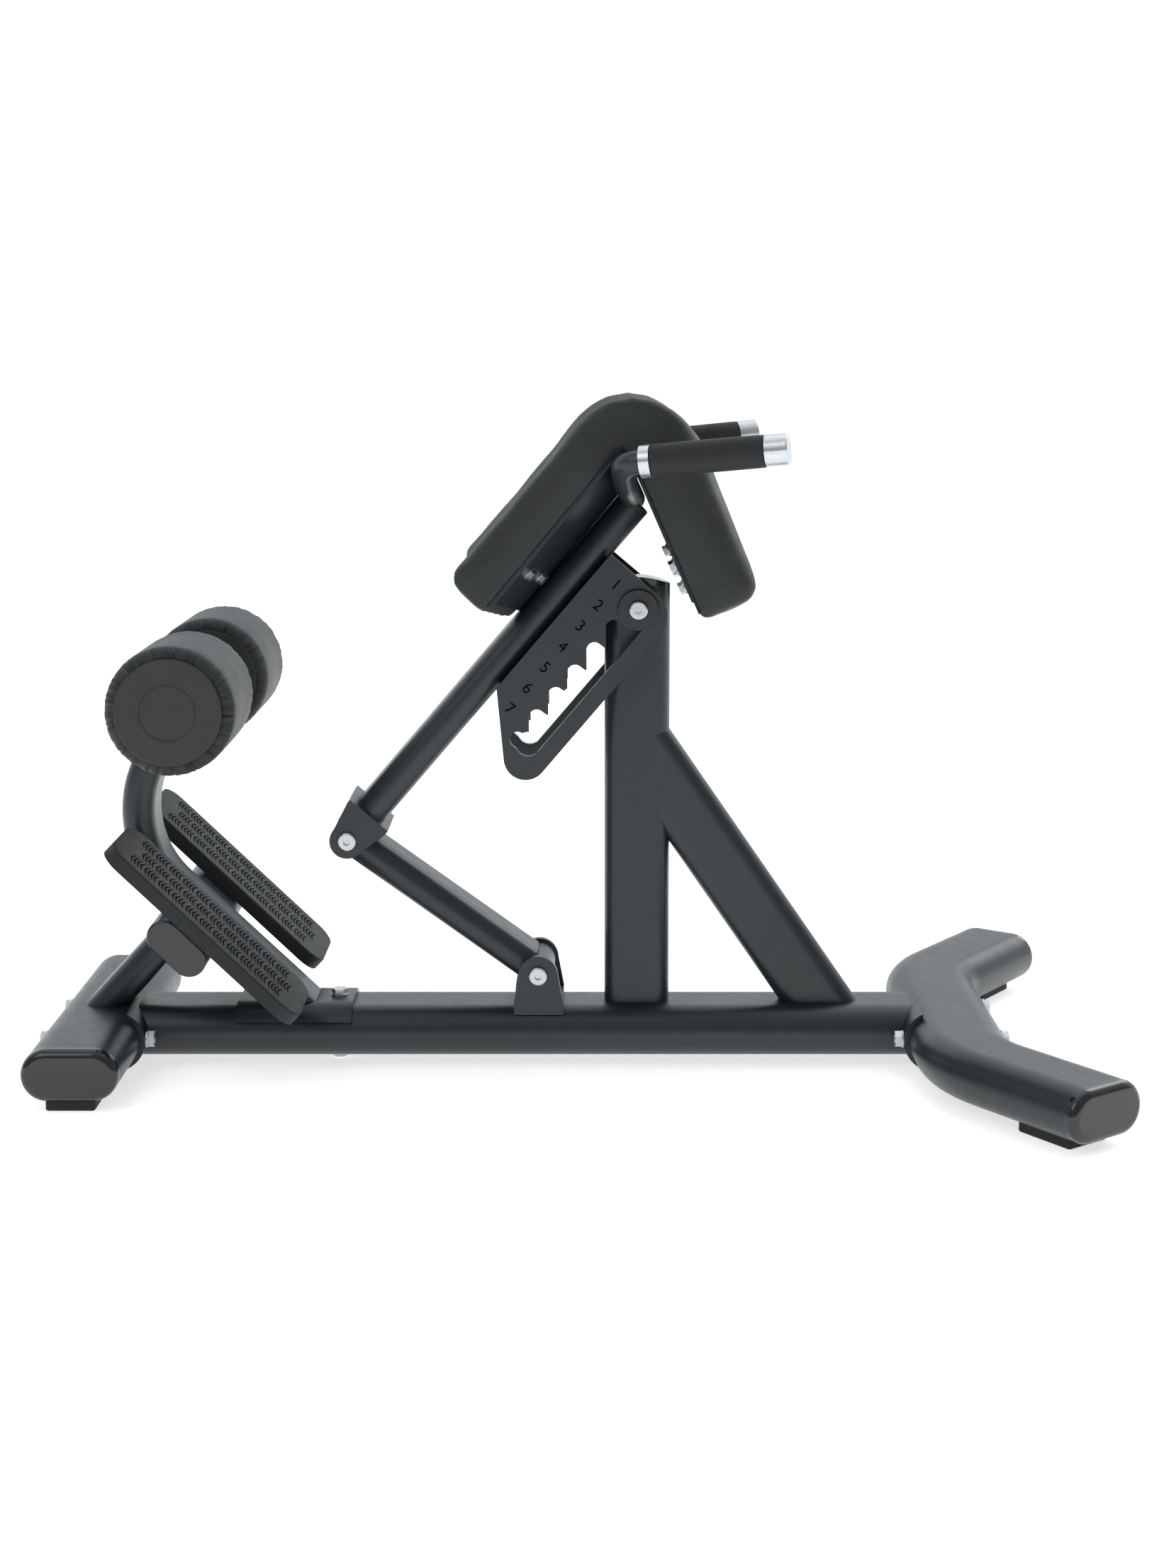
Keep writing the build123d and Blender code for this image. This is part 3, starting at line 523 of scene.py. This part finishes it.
def roller_cover(side):
    """Vinyl stretched over foam, gathered in small pleats where it is pulled in at both ends."""
    low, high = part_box("roller_pad_" + side)
    centre = ((low[0] + high[0]) / 2, (low[1] + high[1]) / 2, (low[2] + high[2]) / 2)
    half = (high[1] - low[1]) / 2
    radius = (high[0] - low[0]) / 2
    inner = 58 * MM
    edge = 13 * MM
    profile = [(inner, -half + 1.0 * MM)]
    steps = 9
    for k in range(steps + 1):
        angle = math.pi / 2 * k / steps
        profile.append((radius - edge + edge * math.sin(angle), -half + edge - edge * math.cos(angle)))
    rows = 12
    for k in range(1, rows):
        profile.append((radius, -half + edge + (2 * half - 2 * edge) * k / rows))
    for k in range(steps + 1):
        angle = math.pi / 2 * k / steps
        profile.append((radius - edge + edge * math.cos(angle), half - edge + edge * math.sin(angle)))
    profile.append((inner, half - 1.0 * MM))
    seed = 3.0 if side == "near" else 11.0

    def wobble(angle, j, r, y):
        reach = max(0.0, 1.0 - (half - abs(y)) / (edge * 1.5)) ** 1.4
        end = 1.0 if y > 0 else 2.0
        circle = Vector((math.cos(angle), math.sin(angle), 0)) * 5.2
        phase = smooth_noise(circle.x + seed, circle.y, end) * 2.6
        pleat = math.sin(angle * PLEATS + phase * 2.5)
        depth = (0.6 + 0.5 * smooth_noise(circle.x * 1.7, circle.y * 1.7, seed + end)) * 4.2 * MM
        fold = reach * depth * (pleat * 0.5 - 0.5)
        pull = reach * 1.5 * MM * smooth_noise(circle.x * 3, circle.y * 3, seed)
        soft = 0.35 * MM * smooth_noise(circle.x * 0.6, circle.y * 0.6, y * 14 + seed)
        tuck = -abs(fold) * 0.8 if y > 0 else abs(fold) * 0.8
        return r + fold + pull * 0.4 + soft, y + (tuck if r < radius - 0.5 * MM else 0.0)

    cover = lathe("roller_cover_" + side, centre, profile, PLEATS * 10, MAT["vinyl"], wobble)
    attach(cover, "roller_" + side)
    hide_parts("roller_pad_" + side)


# ---------------------------------------------------------------- grips

GRIP_R = 18.5 * MM
GRIP_FROM = 6.4 * MM
GRIP_TO = 136.1 * MM
COLLAR = Vector(((79.0 + SHIFT_X) * MM, -214.0 * MM, 754.0 * MM))
GRIP_WAY = Vector((1.0, -0.232, 0.0956)).normalized()


def grip_cover(side):
    """A foam-rubber sleeve with rounded ends and a faint swell between them."""
    mirror_y = 1 if side == "near" else -1
    start = COLLAR.copy()
    axis = GRIP_WAY.copy()
    start.y *= mirror_y
    axis.y *= mirror_y
    sideways = axis.cross(Vector((0, 0, 1))).normalized()
    up = sideways.cross(axis)
    bore = 14.1 * MM
    lip = 2.0 * MM
    length = GRIP_TO - GRIP_FROM
    profile = [(0.0, bore)]
    for k in range(5):
        angle = math.pi / 2 * k / 4
        profile.append((lip * (1 - math.cos(angle)), GRIP_R - lip + lip * math.sin(angle)))
    rows = 26
    for k in range(1, rows):
        t = k / rows
        swell = 0.25 * MM * math.sin(math.pi * t)
        profile.append((lip + (length - 2 * lip) * t, GRIP_R + swell))
    for k in range(5):
        angle = math.pi / 2 * k / 4
        profile.append((length - lip + lip * math.sin(angle), GRIP_R - lip + lip * math.cos(angle)))
    profile.append((length, bore))
    verts, faces = [], []
    turns = 64
    count = len(profile)
    for i in range(turns):
        angle = 2 * math.pi * i / turns
        out = sideways * math.cos(angle) + up * math.sin(angle)
        for t, r in profile:
            verts.append(start + axis * (GRIP_FROM + t) + out * r)
    for i in range(turns):
        k = (i + 1) % turns
        for j in range(count):
            m = (j + 1) % count
            faces.append((i * count + j, k * count + j, k * count + m, i * count + m))
    cover = make_object("grip_sleeve_" + side, verts, faces, GRIP_RUBBER)
    fix_normals(cover)
    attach(cover, "lever")
    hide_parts("grip_" + side)


GRIP_RUBBER = rubber("grip_rubber", 1100.0, 0.55)


# ---------------------------------------------------------------- ladder numbers

PIN_ELBOW = Vector(((-279.5 + SHIFT_X) * MM, 283.4 * MM))
LEVER_ANGLE = math.radians(49.6)
DIGIT_FIRST = 451.0
DIGIT_STEP = 33.0
DIGIT_BELOW = 45.5
DIGIT_SIZE = 20.0 * MM
DIGIT_TURN = math.radians(-40.4)


def lever_point(along, below):
    c, s = math.cos(LEVER_ANGLE), math.sin(LEVER_ANGLE)
    x = PIN_ELBOW.x + (along * c + below * s) * MM
    z = PIN_ELBOW.y + (along * s - below * c) * MM
    return x, z


def ladder_numbers():
    for side, face_y, sign in (("near", -48.0, 1), ("far", 48.0, -1)):
        for step in range(7):
            text = bpy.data.curves.new("digit", "FONT")
            text.body = str(step + 1)
            text.size = DIGIT_SIZE
            text.align_x = "CENTER"
            text.align_y = "CENTER"
            text.extrude = 0.25 * MM
            holder = bpy.data.objects.new("digit", text)
            bpy.context.collection.objects.link(holder)
            graph = bpy.context.evaluated_depsgraph_get()
            mesh = bpy.data.meshes.new_from_object(holder.evaluated_get(graph))
            bpy.data.objects.remove(holder)
            x, z = lever_point(DIGIT_FIRST - step * DIGIT_STEP, DIGIT_BELOW)
            upright = Matrix.Rotation(math.pi / 2, 4, "X")
            turn = Matrix.Rotation(-DIGIT_TURN, 4, "Y")
            flip = Matrix.Rotation(math.pi, 4, "Z") if sign < 0 else Matrix.Identity(4)
            place = Matrix.Translation((x, face_y * MM - sign * 0.1 * MM, z))
            mesh.transform(place @ turn @ flip @ upright)
            mesh.materials.clear()
            mesh.materials.append(MARK)
            obj = bpy.data.objects.new("ladder_number_%s_%d" % (side, step + 1), mesh)
            bpy.context.collection.objects.link(obj)
            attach(obj, "lever")


# ---------------------------------------------------------------- footplate tread

PLATE_ANGLE = math.radians(43.7)
PLATE_START = Vector(((-544.0 + SHIFT_X) * MM, 290.0 * MM))
PLATE_MIDDLE = 140.0
PLATE_THICK = 17.0
TREAD_ROWS = 11
TREAD_COLUMNS = 3


def crescent(length, bow, width, steps=8):
    """Outline of one curved groove, thick in the middle and pointed at its ends."""
    upper, lower = [], []
    for k in range(steps + 1):
        t = -1 + 2 * k / steps
        arch = bow * (1 - t * t)
        half = width * (1 - t * t) ** 0.5 / 2 + 0.12
        upper.append((t * length / 2, arch + half))
        lower.append((t * length / 2, arch - half))
    return upper, lower


def tread(side, y_middle):
    """Groups of curved ribs moulded into the top of a footplate, in staggered columns. The grooves are thin
    near-black crescents laid on the plate: painted shade for the shadow inside them.
    """
    c, s = math.cos(PLATE_ANGLE), math.sin(PLATE_ANGLE)
    along = Vector((c, 0, -s))
    up = Vector((s, 0, c))
    across = Vector((0, 1, 0))
    origin = Vector((PLATE_START.x, y_middle * MM, PLATE_START.y))
    origin += along * PLATE_MIDDLE * MM + up * PLATE_THICK * MM
    upper, lower = crescent(27.0, 3.4, 2.6)
    verts, faces = [], []
    for row in range(TREAD_ROWS):
        for column in range(TREAD_COLUMNS):
            for arc in range(4):
                u0 = -118.0 + row * 21.8 + (9.0 if column == 1 else 0.0) + arc * 4.9
                v0 = (column - 1) * 37.0
                if abs(u0) > 126.0:
                    continue
                base = len(verts)
                for (a, b), (d, e) in zip(upper, lower):
                    for uu, h in ((u0 - b, 0.05), (u0 - (b + e) / 2, 0.75), (u0 - e, 0.05)):
                        verts.append(origin + along * uu * MM + across * (v0 + a) * MM + up * h * MM)
                for k in range(len(upper) - 1):
                    i = base + k * 3
                    faces.append((i, i + 1, i + 4, i + 3))
                    faces.append((i + 1, i + 2, i + 5, i + 4))
                    faces.append((i + 2, i, i + 3, i + 5))
                end = base + (len(upper) - 1) * 3
                faces.append((base, base + 2, base + 1))
                faces.append((end, end + 1, end + 2))
    # The crescents get the near-black groove material: painted shade in the grooves, not a differently
    # coloured plastic.
    obj = make_object("footplate_tread_painted_shade_" + side, verts, faces, SHADOW_GROOVE)
    fix_normals(obj)
    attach(obj, "base")


# ---------------------------------------------------------------- studio and camera

def studio():
    corners = [(-40, -40, 0), (40, -40, 0), (40, 40, 0), (-40, 40, 0)]
    floor = make_object("studio_floor", corners, [(0, 1, 2, 3)], floor_material())
    world = bpy.data.worlds.new("studio_world")
    bpy.context.scene.world = world
    world.use_nodes = True
    tree = world.node_tree
    background = tree.nodes["Background"]
    split = tree.nodes.new("ShaderNodeSeparateXYZ")
    tree.links.new(tree.nodes.new("ShaderNodeTexCoord").outputs["Generated"], split.inputs["Vector"])
    side = world_range(tree, split.outputs["Y"], -0.25, 0.55, 0.32, 1.12)
    above = world_range(tree, split.outputs["Z"], 0.25, 0.95, 0.0, 0.15)
    total = tree.nodes.new("ShaderNodeMath")
    tree.links.new(side, total.inputs[0])
    tree.links.new(above, total.inputs[1])
    tree.links.new(total.outputs["Value"], background.inputs["Strength"])
    background.inputs["Color"].default_value = (0.93, 0.98, 1.0, 1)
    area_light("key", (-2.2, -2.6, 3.2), (0, 0, 0.4), 2.4, 30)
    area_light("rim", (2.4, 2.2, 2.6), (0, 0, 0.4), 2.2, 40)
    area_light("top", (0.2, -0.2, 3.4), (0, 0, 0.3), 3.0, 12)


def world_range(tree, value, low, high, start, end):
    node = tree.nodes.new("ShaderNodeMapRange")
    node.interpolation_type = "SMOOTHSTEP"
    for key, number in (("From Min", low), ("From Max", high), ("To Min", start), ("To Max", end)):
        node.inputs[key].default_value = number
    tree.links.new(value, node.inputs["Value"])
    return node.outputs["Result"]


def area_light(name, place, target, size, power):
    data = bpy.data.lights.new(name, "AREA")
    data.size = size
    data.energy = power
    obj = bpy.data.objects.new(name, data)
    obj.location = place
    obj.rotation_euler = (Vector(target) - Vector(place)).to_track_quat("-Z", "Y").to_euler()
    bpy.context.collection.objects.link(obj)


CAMERA_PLACE = (21.1 * MM, -2800.0 * MM, 877.0 * MM)
CAMERA_PITCH = math.radians(6.07)
CAMERA_LENS = 52.8
CAMERA_SHIFT = (0.0024, -0.1201)


def camera():
    data = bpy.data.cameras.new("camera")
    data.sensor_width = 36.0
    data.lens = CAMERA_LENS
    data.shift_x, data.shift_y = CAMERA_SHIFT
    obj = bpy.data.objects.new("camera", data)
    obj.location = CAMERA_PLACE
    obj.rotation_euler = (math.pi / 2 - CAMERA_PITCH, 0, 0)
    bpy.context.collection.objects.link(obj)
    bpy.context.scene.camera = obj


# ---------------------------------------------------------------- the scene

paint_cad()
build_pads()
for name in ("near", "far"):
    roller_cover(name)
    grip_cover(name)
ladder_numbers()
tread("near", -123.0)
tread("far", 123.0)
studio()
camera()
bpy.context.scene.view_settings.view_transform = "Standard"
